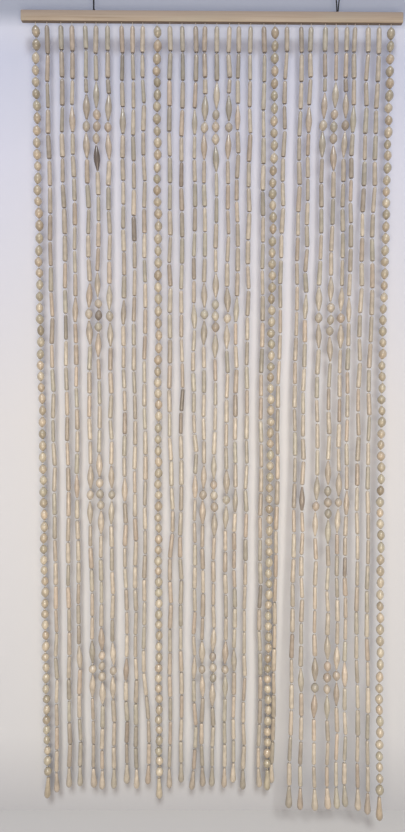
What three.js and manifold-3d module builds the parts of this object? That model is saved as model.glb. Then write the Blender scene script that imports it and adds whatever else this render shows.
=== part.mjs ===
// A bead curtain: 31 strings of pale wooden beads under a plain wooden batten, which hangs by
// two short loops of black cord. Millimetres, +Z up, the front facing -Y and +X to the right.
// The origin is the middle of the batten's top face, so depths are measured down from there.

import * as THREE from 'three';
import { mergeVertices } from 'three/addons/utils/BufferGeometryUtils.js';
import Module from 'manifold-3d';

const wasm = await Module();
wasm.setup();

// Batten, with a channel along its underside that takes the strings' roots
const BATTEN_LENGTH = 900;
const BATTEN_HEIGHT = 25;
const BATTEN_THICKNESS = 12;
const BATTEN_CORNER = 3;
const BATTEN_EDGE = 1.5;
const CORNER_STEPS = 3;
const CHANNEL_LENGTH = 872;
const CHANNEL_WIDTH = 5.6;
const CHANNEL_DEPTH = 5;
const FIT_GAP = 0.3;

// Root strips, which lie in the channel and carry one border string or one group of nine
const STRIP_WIDTH = CHANNEL_WIDTH - 2 * FIT_GAP;
const STRIP_HEIGHT = CHANNEL_DEPTH - FIT_GAP;
const STRIP_END = 7;
const ROOT_DEPTH = 22;
const THREAD_RADIUS = 1.2;
const FIRST_BEAD = 33;

// Unevenness of hand-strung beads
const SHARE_SPREAD = 0.07;
const JOINT_SWAY_ASIDE = 2;
const JOINT_SWAY_FORWARD = 1;
const BEAD_GAP = 2;

// How a string leaves the batten's plane: from this depth on, ever faster, until it has gone
// its full way forward at the end of the reach
const LEAN_START = 700;
const LEAN_REACH = 1250;
const LEAN_POWER = 1.6;

// Beads: the length that each takes on the thread and its outline from top to bottom.
// A tube is a little thicker at its foot, so that each joint shows as a step.
const BEADS = {
  tube: {
    length: 60,
    outline: [
      { at: 0, radius: 4.0 },
      { at: 1, radius: 5.2 },
    ],
  },
  spindle: {
    length: 62,
    outline: [
      { at: 0, radius: 2.4 },
      { at: 0.48, radius: 7.4 },
      { at: 1, radius: 2.4 },
    ],
  },
  slender: {
    length: 62,
    outline: [
      { at: 0, radius: 2.6 },
      { at: 0.5, radius: 6.0 },
      { at: 1, radius: 2.6 },
    ],
  },
  oval: {
    length: 28,
    outline: [
      { at: 0.45, radius: 8.4 },
      { at: 1, radius: 2.6 },
    ],
  },
  drop: {
    length: 53,
    outline: [
      { at: 0, radius: 2.4 },
      { at: 0.4, radius: 5.0 },
      { at: 0.74, radius: 7.4 },
      { at: 0.95, radius: 4.4 },
    ],
  },
  longDrop: {
    length: 58,
    outline: [
      { at: 0, radius: 2.6 },
      { at: 0.4, radius: 5.4 },
      { at: 0.74, radius: 8.0 },
      { at: 0.95, radius: 4.8 },
    ],
  },
};

const even = (count) => new Array(count).fill(1);

// String kinds: sides of the solid, the bead that fills the stretches, the beads of one diamond
// row, the end bead, and the relative lengths of the fillers above, between and below the rows.
const KINDS = {
  border: {
    sides: 4, filler: 'oval', diamond: [], end: 'longDrop',
    above: [], between: [], below: even(66),
  },
  plain: {
    sides: 3, filler: 'tube', diamond: [], end: 'drop',
    above: [], between: [], below: even(30),
  },
  outer: {
    sides: 3, filler: 'tube', diamond: ['slender'], end: 'drop',
    above: even(3), between: even(7), below: even(4),
  },
  inner: {
    sides: 3, filler: 'tube', diamond: ['spindle', 'oval', 'spindle'], end: 'drop',
    above: [1, 1, 0.58], between: even(5), below: even(3),
  },
  centre: {
    sides: 3, filler: 'tube', diamond: ['spindle', 'oval', 'oval', 'oval', 'spindle'], end: 'drop',
    above: even(2), between: even(4), below: even(3),
  },
};

// Strings from left to right: where the root leaves the batten, how far the foot has drifted
// sideways and forward, how deep the tip and the middles of the diamonds hang, and bends on the
// way down where there are any.
const STRINGS = [
  { kind: 'border', root: -417, drift: 0, forward: 0, tip: 1953 },
  { kind: 'plain', root: -390, drift: -3, forward: 0, tip: 1937, bends: [{ depth: 1250, aside: 2 }] },
  { kind: 'plain', root: -357, drift: -3, forward: 0, tip: 1924, bends: [{ depth: 1250, aside: 2 }] },
  { kind: 'outer', root: -331, drift: -1, forward: 0, tip: 1921, rows: [248, 697, 1134, 1574] },
  {
    kind: 'inner', root: -300, drift: 1, forward: 0, tip: 1925, rows: [264, 707, 1155, 1606],
    bends: [{ depth: 600, aside: 4 }, { depth: 1000, aside: 1 }],
  },
  { kind: 'centre', root: -274, drift: -1, forward: 0, tip: 1929, rows: [264, 710, 1153, 1599] },
  { kind: 'inner', root: -247, drift: 2, forward: 0, tip: 1927, rows: [265, 712, 1155, 1611] },
  { kind: 'outer', root: -214, drift: 3, forward: 0, tip: 1914, rows: [250, 703, 1142, 1607] },
  { kind: 'plain', root: -188, drift: 1, forward: 0, tip: 1927 },
  {
    kind: 'plain', root: -164, drift: 8, forward: 0, tip: 1915,
    bends: [
      { depth: 600, aside: 3 },
      { depth: 1300, aside: 0 },
      { depth: 1640, aside: -5 },
      { depth: 1700, aside: 5 },
      { depth: 1800, aside: 11 },
    ],
  },
  { kind: 'border', root: -130, drift: 2, forward: 0, tip: 1955 },
  {
    kind: 'plain', root: -100, drift: -1, forward: 0, tip: 1926,
    bends: [{ depth: 1040, aside: 0 }, { depth: 1205, aside: 9 }, { depth: 1290, aside: 1 }],
  },
  {
    kind: 'plain', root: -71, drift: 1, forward: 0, tip: 1910,
    bends: [{ depth: 865, aside: 0 }, { depth: 905, aside: 8 }, { depth: 965, aside: -3 }],
  },
  {
    kind: 'outer', root: -39, drift: -4, forward: 0, tip: 1930, rows: [252, 712, 1134, 1602],
    bends: [
      { depth: 900, aside: -3 },
      { depth: 1040, aside: 3 },
      { depth: 1690, aside: 0 },
      { depth: 1785, aside: 8 },
      { depth: 1850, aside: 3 },
    ],
  },
  { kind: 'inner', root: -17, drift: 0, forward: 0, tip: 1921, rows: [265, 707, 1154, 1607] },
  { kind: 'centre', root: 11, drift: -1, forward: 0, tip: 1921, rows: [264, 711, 1157, 1602] },
  { kind: 'inner', root: 41, drift: -1, forward: 0, tip: 1924, rows: [264, 717, 1167, 1608] },
  { kind: 'outer', root: 63, drift: 0, forward: 0, tip: 1911, rows: [241, 695, 1167, 1583] },
  { kind: 'plain', root: 91, drift: -1, forward: 0, tip: 1929 },
  { kind: 'plain', root: 122, drift: 9, forward: 0, tip: 1924 },
  { kind: 'border', root: 148, drift: 3, forward: 0, tip: 1932 },
  {
    kind: 'plain', root: 177, drift: -11, forward: -16, tip: 1922,
    bends: [{ depth: 600, aside: -7 }, { depth: 1150, aside: -10 }],
  },
  {
    kind: 'plain', root: 210, drift: -12, forward: 85, tip: 1920,
    bends: [{ depth: 300, aside: 2 }, { depth: 1300, aside: -3 }],
  },
  { kind: 'outer', root: 234, drift: -8, forward: 85, tip: 1924, rows: [245, 687, 1159, 1608] },
  { kind: 'inner', root: 268, drift: -8, forward: 85, tip: 1927, rows: [258, 714, 1179, 1628] },
  { kind: 'centre', root: 293, drift: 0, forward: 85, tip: 1923, rows: [261, 718, 1169, 1603] },
  { kind: 'inner', root: 319, drift: -3, forward: 85, tip: 1922, rows: [258, 714, 1169, 1599] },
  { kind: 'outer', root: 338, drift: -2, forward: 85, tip: 1918, rows: [244, 695, 1169, 1595] },
  {
    kind: 'plain', root: 369, drift: -2, forward: 85, tip: 1926,
    bends: [{ depth: 1150, aside: -4 }],
  },
  {
    kind: 'plain', root: 395, drift: -3, forward: 85, tip: 1936,
    bends: [{ depth: 600, aside: -3 }],
  },
  { kind: 'border', root: 423, drift: 0, forward: 85, tip: 1950 },
];

// Which strings each root strip carries, counted from 1
const STRIPS = [
  { name: 'border_string_1', first: 1, last: 1 },
  { name: 'strings_left', first: 2, last: 10 },
  { name: 'border_string_2', first: 11, last: 11 },
  { name: 'strings_middle', first: 12, last: 20 },
  { name: 'border_string_3', first: 21, last: 21 },
  { name: 'lone_string', first: 22, last: 22 },
  { name: 'strings_right', first: 23, last: 30 },
  { name: 'border_string_4', first: 31, last: 31 },
];

// Hanging loops of cord, each a flat hairpin that widens upwards to a round top, on a knot
const CORD_RADIUS = 1.25;
const CORD_SIDES = 8;
const CORD_STEPS = 24;
const KNOT_RADIUS = 3.3;
const KNOT_HEIGHT = 4.7;
const KNOT_SIDES = 10;
const LOOP_TOP = 56;
const LOOP_BEND = 6.3;
const LOOP_TOP_ANGLES = [15, 40, 65, 90, 115, 140, 165];
const LOOP_LEG = [
  { spread: 1.65, height: 5.3 },
  { spread: 1.75, height: 9 },
  { spread: 2.0, height: 14 },
  { spread: 2.5, height: 20 },
  { spread: 3.3, height: 28 },
  { spread: 4.3, height: 37 },
  { spread: 5.4, height: 46 },
  { spread: 6.1, height: 53 },
];
const LOOPS = [
  { side: 'left', x: -279, turn: 90 },
  { side: 'right', x: 295.5, turn: 0 },
];

const BATTEN_WOOD = new THREE.MeshStandardMaterial({ color: 0xc2a988, roughness: 0.6 });
const BEAD_WOOD = new THREE.MeshStandardMaterial({ color: 0xcdc0b0, roughness: 0.5 });
const BORDER_WOOD = new THREE.MeshStandardMaterial({ color: 0xd3c4ac, roughness: 0.5 });
const BLACK_CORD = new THREE.MeshStandardMaterial({ color: 0x23232c, roughness: 0.85 });
for (const material of [BATTEN_WOOD, BEAD_WOOD, BORDER_WOOD, BLACK_CORD]) {
  material.metalness = 0;
}

// A number from -1 to 1 that looks random and is the same for the same string and bead
function unevenness(string, bead) {
  const mixed = string * 37 + bead * 61 + 17;
  return ((mixed * mixed) % 101) / 50 - 1;
}

// Solids and geometries

function toSolid(geometry) {
  geometry.deleteAttribute('normal');
  geometry.deleteAttribute('uv');
  const merged = mergeVertices(geometry);
  const corners = merged.index.array;
  const triangles = [];
  for (let i = 0; i < corners.length; i += 3) {
    const [a, b, c] = corners.slice(i, i + 3);
    if (a !== b && b !== c && c !== a) {
      triangles.push(a, b, c);
    }
  }
  return new wasm.Manifold(new wasm.Mesh({
    numProp: 3,
    vertProperties: new Float32Array(merged.attributes.position.array),
    triVerts: new Uint32Array(triangles),
  }));
}

function toGeometry(solid) {
  const mesh = solid.getMesh();
  const geometry = new THREE.BufferGeometry();
  geometry.setAttribute('position', new THREE.BufferAttribute(mesh.vertProperties, 3));
  geometry.setIndex(new THREE.BufferAttribute(mesh.triVerts, 1));
  geometry.computeVertexNormals();
  return geometry;
}

function boxSolid(length, width, height, x, z) {
  return toSolid(new THREE.BoxGeometry(length, width, height).translate(x, 0, z));
}

// Batten: a board with round corners and eased edges, less its channel

function battenGeometry() {
  const halfLength = BATTEN_LENGTH / 2;
  const halfHeight = BATTEN_HEIGHT / 2;
  const board = new THREE.Shape();
  board.absarc(halfLength - BATTEN_CORNER, halfHeight - BATTEN_CORNER, BATTEN_CORNER, 0, Math.PI / 2);
  board.absarc(BATTEN_CORNER - halfLength, halfHeight - BATTEN_CORNER, BATTEN_CORNER,
    Math.PI / 2, Math.PI);
  board.absarc(BATTEN_CORNER - halfLength, BATTEN_CORNER - halfHeight, BATTEN_CORNER,
    Math.PI, 1.5 * Math.PI);
  board.absarc(halfLength - BATTEN_CORNER, BATTEN_CORNER - halfHeight, BATTEN_CORNER,
    1.5 * Math.PI, 2 * Math.PI);
  const blank = new THREE.ExtrudeGeometry(board, {
    depth: BATTEN_THICKNESS - 2 * BATTEN_EDGE,
    bevelThickness: BATTEN_EDGE,
    bevelSize: BATTEN_EDGE,
    bevelOffset: -BATTEN_EDGE,
    bevelSegments: 1,
    curveSegments: CORNER_STEPS,
  });
  blank.rotateX(Math.PI / 2);
  blank.center();
  blank.translate(0, 0, -halfHeight);
  const channelFloor = CHANNEL_DEPTH - BATTEN_HEIGHT;
  const channel = boxSolid(CHANNEL_LENGTH, CHANNEL_WIDTH, BATTEN_HEIGHT, 0,
    channelFloor - BATTEN_HEIGHT / 2);
  return toGeometry(toSolid(blank).subtract(channel));
}

// Strings

// Beads that fill a stretch of thread, in uneven shares of its length
function fillStretch(beads, string, filler, shares, top, bottom) {
  const uneven = shares.map((share, i) => (
    share * (1 + SHARE_SPREAD * unevenness(string, beads.length + i))
  ));
  const whole = uneven.reduce((sum, share) => sum + share, 0);
  let depth = top;
  for (const share of uneven) {
    const length = (share / whole) * (bottom - top);
    beads.push({ name: filler, top: depth, bottom: depth + length - BEAD_GAP });
    depth += length;
  }
}

function beadsOf(string, row) {
  const kind = KINDS[row.kind];
  const diamondLength = kind.diamond.reduce((sum, name) => sum + BEADS[name].length, 0);
  const endTop = row.tip - BEADS[kind.end].length;
  const beads = [];
  let depth = FIRST_BEAD;
  for (const middle of row.rows ?? []) {
    const shares = depth === FIRST_BEAD ? kind.above : kind.between;
    const diamondTop = middle - diamondLength / 2;
    fillStretch(beads, string, kind.filler, shares, depth, diamondTop);
    depth = diamondTop;
    for (const name of kind.diamond) {
      beads.push({ name, top: depth, bottom: depth + BEADS[name].length - BEAD_GAP });
      depth += BEADS[name].length;
    }
  }
  fillStretch(beads, string, kind.filler, kind.below, depth, endTop);
  beads.push({ name: kind.end, top: endTop, bottom: row.tip });
  return beads;
}

// Where the middle of the thread is at a depth, before the beads' own sway
function threadAt(row, depth) {
  const stops = [
    { depth: 0, aside: 0 },
    ...(row.bends ?? []),
    { depth: row.tip, aside: row.drift },
  ];
  const next = Math.max(1, stops.findIndex((stop) => stop.depth >= depth));
  const above = stops[next - 1];
  const below = stops[next];
  const share = (depth - above.depth) / (below.depth - above.depth);
  const lean = Math.max(0, (depth - LEAN_START) / LEAN_REACH) ** LEAN_POWER;
  return {
    x: row.root + above.aside + share * (below.aside - above.aside),
    y: -row.forward * lean,
  };
}

// Rings of a string from its root to its tip, each with a depth, a radius and a joint, whose
// sway moves it sideways: a bead's upper half goes with the joint above it
function ringsOf(string, row) {
  const rings = [
    { depth: ROOT_DEPTH, radius: 0, joint: 0 },
    { depth: ROOT_DEPTH, radius: THREAD_RADIUS, joint: 0 },
    { depth: FIRST_BEAD - BEAD_GAP, radius: THREAD_RADIUS, joint: 0 },
  ];
  beadsOf(string, row).forEach((bead, index) => {
    for (const { at, radius } of BEADS[bead.name].outline) {
      rings.push({
        depth: bead.top + at * (bead.bottom - bead.top),
        radius,
        joint: at < 0.5 ? index : index + 1,
      });
    }
  });
  const tipJoint = rings[rings.length - 1].joint;
  rings.push({ depth: row.tip, radius: 0, joint: tipJoint });
  return rings.map((ring) => {
    const middle = threadAt(row, ring.depth);
    const loose = ring.joint === 0 ? 0 : 1;
    return {
      ...ring,
      x: middle.x + loose * JOINT_SWAY_ASIDE * unevenness(string, ring.joint),
      y: middle.y + loose * JOINT_SWAY_FORWARD * unevenness(ring.joint, string),
    };
  });
}

// A string as a turned outline of three or four sides, whose rings are then moved to the thread.
// The corners stand out so far that the solid is on average as wide as the round bead.
function stringSolid(string) {
  const row = STRINGS[string - 1];
  const { sides } = KINDS[row.kind];
  const cornerGain = Math.PI / (sides * Math.sin(Math.PI / sides));
  const rings = ringsOf(string, row).reverse();
  const outline = rings.map((ring) => new THREE.Vector2(ring.radius * cornerGain, -ring.depth));
  const geometry = new THREE.LatheGeometry(outline, sides);
  geometry.rotateX(Math.PI / 2);
  const position = geometry.attributes.position;
  for (let i = 0; i < position.count; i += 1) {
    const ring = rings[i % rings.length];
    position.setX(i, position.getX(i) + ring.x);
    position.setY(i, position.getY(i) + ring.y);
  }
  return toSolid(geometry);
}

function stripGeometry({ first, last }) {
  const from = STRINGS[first - 1].root - STRIP_END;
  const to = STRINGS[last - 1].root + STRIP_END;
  let solid = boxSolid(to - from, STRIP_WIDTH, STRIP_HEIGHT, (from + to) / 2,
    STRIP_HEIGHT / 2 - BATTEN_HEIGHT);
  for (let string = first; string <= last; string += 1) {
    solid = solid.add(stringSolid(string));
  }
  return toGeometry(solid);
}

// Hanging loops

function cordGeometry() {
  const leg = (side) => LOOP_LEG.map(({ spread, height }) => (
    new THREE.Vector3(side * spread, 0, height)
  ));
  const top = LOOP_TOP_ANGLES.map((angle) => {
    const turn = THREE.MathUtils.degToRad(180 - angle);
    return new THREE.Vector3(LOOP_BEND * Math.cos(turn), 0, LOOP_TOP + LOOP_BEND * Math.sin(turn));
  });
  const path = new THREE.CatmullRomCurve3([...leg(-1), ...top, ...leg(1).reverse()]);
  const section = new THREE.Shape().absarc(0, 0, CORD_RADIUS, 0, 2 * Math.PI);
  return new THREE.ExtrudeGeometry(section, {
    extrudePath: path,
    steps: CORD_STEPS,
    curveSegments: CORD_SIDES / 2,
    bevelEnabled: false,
  });
}

function knotGeometry() {
  const outline = [
    [0, FIT_GAP],
    [0.75 * KNOT_RADIUS, FIT_GAP],
    [KNOT_RADIUS, FIT_GAP + 0.3 * KNOT_HEIGHT],
    [KNOT_RADIUS, FIT_GAP + 0.65 * KNOT_HEIGHT],
    [0.9 * KNOT_RADIUS, FIT_GAP + KNOT_HEIGHT],
    [0, FIT_GAP + KNOT_HEIGHT],
  ];
  const points = outline.map(([radius, height]) => new THREE.Vector2(radius, height));
  return new THREE.LatheGeometry(points, KNOT_SIDES).rotateX(Math.PI / 2);
}

// The curtain

const curtain = new THREE.Group();

function addPiece(name, geometry, material, x = 0, turn = 0) {
  const mesh = new THREE.Mesh(geometry, material);
  mesh.name = name;
  mesh.position.x = x;
  mesh.rotation.z = THREE.MathUtils.degToRad(turn);
  curtain.add(mesh);
}

addPiece('batten', battenGeometry(), BATTEN_WOOD);
for (const strip of STRIPS) {
  const wood = STRINGS[strip.first - 1].kind === 'border' ? BORDER_WOOD : BEAD_WOOD;
  addPiece(strip.name, stripGeometry(strip), wood);
}
for (const loop of LOOPS) {
  addPiece(`hanging_loop_${loop.side}`, cordGeometry(), BLACK_CORD, loop.x, loop.turn);
  addPiece(`loop_knot_${loop.side}`, knotGeometry(), BLACK_CORD, loop.x, loop.turn);
}

export default curtain;
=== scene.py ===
"""Bead curtain: 31 strings of turned wooden beads under a wooden batten, hung by two cord loops.

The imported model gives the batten, one solid for each group of strings, and the two hanging loops
on their knots. Here every bead is a drilled piece of its own, strung on a thread at the place
where the solids have it. The scene is in metres, +Z up, with the front facing -Y, and the sizes
of the pieces are in mm.
"""
import logging
import math
import random
from collections.abc import Callable, Sequence
from dataclasses import dataclass, field
from enum import Enum

import bmesh
import bpy
from mathutils import Matrix, Vector


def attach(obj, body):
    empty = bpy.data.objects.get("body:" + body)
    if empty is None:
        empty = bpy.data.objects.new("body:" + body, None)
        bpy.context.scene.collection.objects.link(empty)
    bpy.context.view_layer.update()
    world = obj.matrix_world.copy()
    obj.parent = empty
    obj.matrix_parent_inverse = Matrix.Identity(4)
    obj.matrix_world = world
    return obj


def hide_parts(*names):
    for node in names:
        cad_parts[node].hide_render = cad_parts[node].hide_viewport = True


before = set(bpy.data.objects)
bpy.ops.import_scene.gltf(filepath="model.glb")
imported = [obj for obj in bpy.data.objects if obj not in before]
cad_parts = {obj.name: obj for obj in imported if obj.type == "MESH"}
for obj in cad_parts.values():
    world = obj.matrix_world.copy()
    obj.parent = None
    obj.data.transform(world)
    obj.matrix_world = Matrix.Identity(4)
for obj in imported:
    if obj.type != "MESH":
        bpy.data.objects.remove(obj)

log = logging.getLogger("bead_curtain")

MM = 0.001
BODY = "root"
# Points closer than this are one, and points this close to the bore lie in it, in metres
WELD = 0.00001
BORE_MARGIN = 0.00005


# Small helpers


def linear(hex_colour: int) -> tuple[float, float, float, float]:
    """Turns an sRGB hex colour into linear light.

    Args:
        hex_colour: the colour as 0xRRGGBB.

    Returns:
        Red, green, blue and an alpha of 1.
    """
    channels = []
    for shift in (16, 8, 0):
        value = ((hex_colour >> shift) & 0xFF) / 255
        channels.append(value / 12.92 if value <= 0.04045 else ((value + 0.055) / 1.055) ** 2.4)
    return (*channels, 1.0)


def deselect_all() -> None:
    """Leaves nothing selected and nothing in edit mode."""
    if bpy.context.mode != "OBJECT":
        bpy.ops.object.mode_set(mode="OBJECT")
    bpy.ops.object.select_all(action="DESELECT")


def pick(piece: bpy.types.Object) -> None:
    """Selects one piece and makes it the active one."""
    deselect_all()
    piece.select_set(True)
    bpy.context.view_layer.objects.active = piece


def apply_modifiers(piece: bpy.types.Object) -> None:
    """Applies every modifier of a piece, in order."""
    pick(piece)
    for modifier in list(piece.modifiers):
        bpy.ops.object.modifier_apply(modifier=modifier.name)


def select_edges(piece: bpy.types.Object, wanted: Callable[[Vector, Vector], bool]) -> None:
    """Selects edges of a mesh that is in edit mode, and nothing else.

    Args:
        piece: the object being edited.
        wanted: says from an edge's two ends whether it is selected.
    """
    bpy.ops.mesh.select_mode(type="EDGE")
    bpy.ops.mesh.select_all(action="DESELECT")
    mesh = bmesh.from_edit_mesh(piece.data)
    for edge in mesh.edges:
        edge.select = wanted(edge.verts[0].co, edge.verts[1].co)
    mesh.select_flush_mode()
    bmesh.update_edit_mesh(piece.data)


def join(pieces: Sequence[bpy.types.Object], name: str) -> bpy.types.Object:
    """Joins meshes into one piece.

    Args:
        pieces: the objects to join, all at the origin.
        name: the piece's name.

    Returns:
        The joined object.
    """
    deselect_all()
    for piece in pieces:
        piece.select_set(True)
    bpy.context.view_layer.objects.active = pieces[0]
    bpy.ops.object.join()
    joined = bpy.context.view_layer.objects.active
    joined.name = name
    joined.data.name = name
    return joined


def add_node(
    tree: bpy.types.NodeTree,
    kind: str,
    inputs: dict[str | int, object] | None = None,
    **settings: object,
) -> bpy.types.Node:
    """Adds one node with its settings, values and links.

    Args:
        tree: the node tree that it goes into.
        kind: the node's type name.
        inputs: for each input, by name or number, a value or the output that is linked to it.
        settings: properties of the node itself.

    Returns:
        The new node.
    """
    node = tree.nodes.new(kind)
    for name, value in settings.items():
        setattr(node, name, value)
    for socket, value in (inputs or {}).items():
        if isinstance(value, bpy.types.NodeSocket):
            tree.links.new(value, node.inputs[socket])
        else:
            node.inputs[socket].default_value = value
    return node


def new_material(name: str) -> tuple[bpy.types.Material, bpy.types.NodeTree]:
    """Makes an empty node material and returns it with its tree."""
    material = bpy.data.materials.new(name)
    material.use_nodes = True
    material.node_tree.nodes.clear()
    return material, material.node_tree


def dress(piece: bpy.types.Object, material: bpy.types.Material) -> None:
    """Gives a piece one material all over."""
    piece.data.materials.clear()
    piece.data.materials.append(material)


def add_object(name: str, data: bpy.types.ID) -> bpy.types.Object:
    """Puts a new object with its data into the scene."""
    added = bpy.data.objects.new(name, data)
    bpy.context.scene.collection.objects.link(added)
    return added


def close_skin(smooth_below: float) -> None:
    """Welds the mesh that is being edited, faces it outward and leaves it in object mode.

    Args:
        smooth_below: edges that bend by less than this are drawn smooth, in degrees.
    """
    bpy.ops.mesh.select_all(action="SELECT")
    bpy.ops.mesh.remove_doubles(threshold=WELD)
    bpy.ops.mesh.normals_make_consistent(inside=False)
    bpy.ops.object.mode_set(mode="OBJECT")
    bpy.ops.object.shade_smooth_by_angle(angle=math.radians(smooth_below))


# Finishes

# Inputs and output of the Mix node when it mixes colours
MIX_FACTOR = "Factor"
MIX_A = 6
MIX_B = 7
MIX_RESULT = 2


@dataclass(frozen=True)
class Layer:
    """A colour that is laid over the ones before it, as far as a value says.

    Attributes:
        value: the output that says how far.
        start: the value at which the layer starts to show.
        full: the value at which it shows most.
        colour: its sRGB colour.
        most: how much it then covers, from 0 to 1.
    """

    value: bpy.types.NodeSocket
    start: float
    full: float
    colour: int
    most: float = 1.0


def lay_colours(
    tree: bpy.types.NodeTree, base: int, layers: Sequence[Layer]
) -> bpy.types.NodeSocket:
    """Lays colours over a base, one after the other.

    Args:
        tree: the material's node tree.
        base: the sRGB colour under them all.
        layers: the layers, from the lowest up.

    Returns:
        The output that gives the colour of them all together.
    """
    colour: object = linear(base)
    for layer in layers:
        amount = add_node(
            tree, "ShaderNodeMapRange",
            {"Value": layer.value, "From Min": layer.start, "From Max": layer.full,
             "To Max": layer.most},
        )
        mixed = add_node(
            tree, "ShaderNodeMix",
            {MIX_FACTOR: amount.outputs["Result"], MIX_A: colour, MIX_B: linear(layer.colour)},
            data_type="RGBA",
        )
        colour = mixed.outputs[MIX_RESULT]
    return colour


@dataclass(frozen=True)
class TurnedWood:
    """Pale hardwood or cane, turned and drilled, rubbed with a thin satin finish.

    To the eye that is a dull pale tan with a soft highlight, fine streaks along the bore, darker
    rims that are end grain drinking the finish, with painted shade at the foot and in the bore,
    Streaks and blotches are measured in mm.
    """

    name: str
    pale: int
    deep: int
    grey: int
    rosy: int
    streak: int
    # Rim colour: end grain, and painted shade at the foot and in the bore
    end_grain_and_shade: int
    streak_width: float = 1.1
    streak_length: float = 26.0
    blotch: float = 14.0
    roughness: float = 0.4
    ior: float = 1.5
    coat: float = 0.8
    coat_roughness: float = 0.16

    def material(self) -> bpy.types.Material:
        """Builds the material from the beads' own attributes.

        Returns:
            A material that reads each bead's place in its blank, tone, hue and rims.
        """
        material, tree = new_material(self.name)
        place, tone, hue, rim = (
            add_node(tree, "ShaderNodeAttribute", attribute_name=name)
            for name in ("wood_place", "tone", "hue", "rim")
        )
        squeeze = self.streak_width / self.streak_length
        along = add_node(
            tree, "ShaderNodeMapping", {"Vector": place.outputs["Vector"], "Scale": (1, 1, squeeze)}
        )
        streaks = add_node(
            tree, "ShaderNodeTexNoise",
            {"Vector": along.outputs["Vector"], "Scale": 1 / (self.streak_width * MM),
             "Detail": 4.0, "Roughness": 0.62},
        )
        clouds = add_node(
            tree, "ShaderNodeTexNoise",
            {"Vector": place.outputs["Vector"], "Scale": 1 / (self.blotch * MM), "Detail": 2.0},
        )
        streaked = lay_colours(tree, self.pale, (
            Layer(hue.outputs["Fac"], 0.45, 0.0, self.grey, most=0.75),
            Layer(hue.outputs["Fac"], 0.6, 1.0, self.rosy, most=0.6),
            Layer(tone.outputs["Fac"], 0.0, 1.0, self.deep),
            Layer(streaks.outputs["Fac"], 0.5, 0.72, self.streak, most=0.55),
        ))
        light_patch = add_node(
            tree, "ShaderNodeMapRange",
            {"Value": clouds.outputs["Fac"], "From Min": 0.35, "From Max": 0.7,
             "To Min": 0.84, "To Max": 1.1},
        )
        clouded = add_node(
            tree, "ShaderNodeVectorMath",
            {0: streaked, "Scale": light_patch.outputs["Result"]},
            operation="SCALE",
        )
        # Darker rims: end grain, and painted shade at the foot and in the bore
        rimmed = add_node(
            tree, "ShaderNodeMix",
            {MIX_FACTOR: rim.outputs["Fac"], MIX_A: clouded.outputs["Vector"],
             MIX_B: linear(self.end_grain_and_shade)},
            data_type="RGBA",
        )
        rough = add_node(
            tree, "ShaderNodeMapRange",
            {"Value": streaks.outputs["Fac"], "From Min": 0.3, "From Max": 0.7,
             "To Min": self.roughness - 0.06, "To Max": self.roughness + 0.14},
        )
        grooves = add_node(
            tree, "ShaderNodeBump",
            {"Height": streaks.outputs["Fac"], "Strength": 0.35, "Distance": 0.25 * MM},
        )
        surface = add_node(
            tree, "ShaderNodeBsdfPrincipled",
            {"Base Color": rimmed.outputs[MIX_RESULT], "Roughness": rough.outputs["Result"],
             "Normal": grooves.outputs["Normal"], "IOR": self.ior,
             "Coat Weight": self.coat, "Coat Roughness": self.coat_roughness},
        )
        add_node(tree, "ShaderNodeOutputMaterial", {"Surface": surface.outputs["BSDF"]})
        return material


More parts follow.
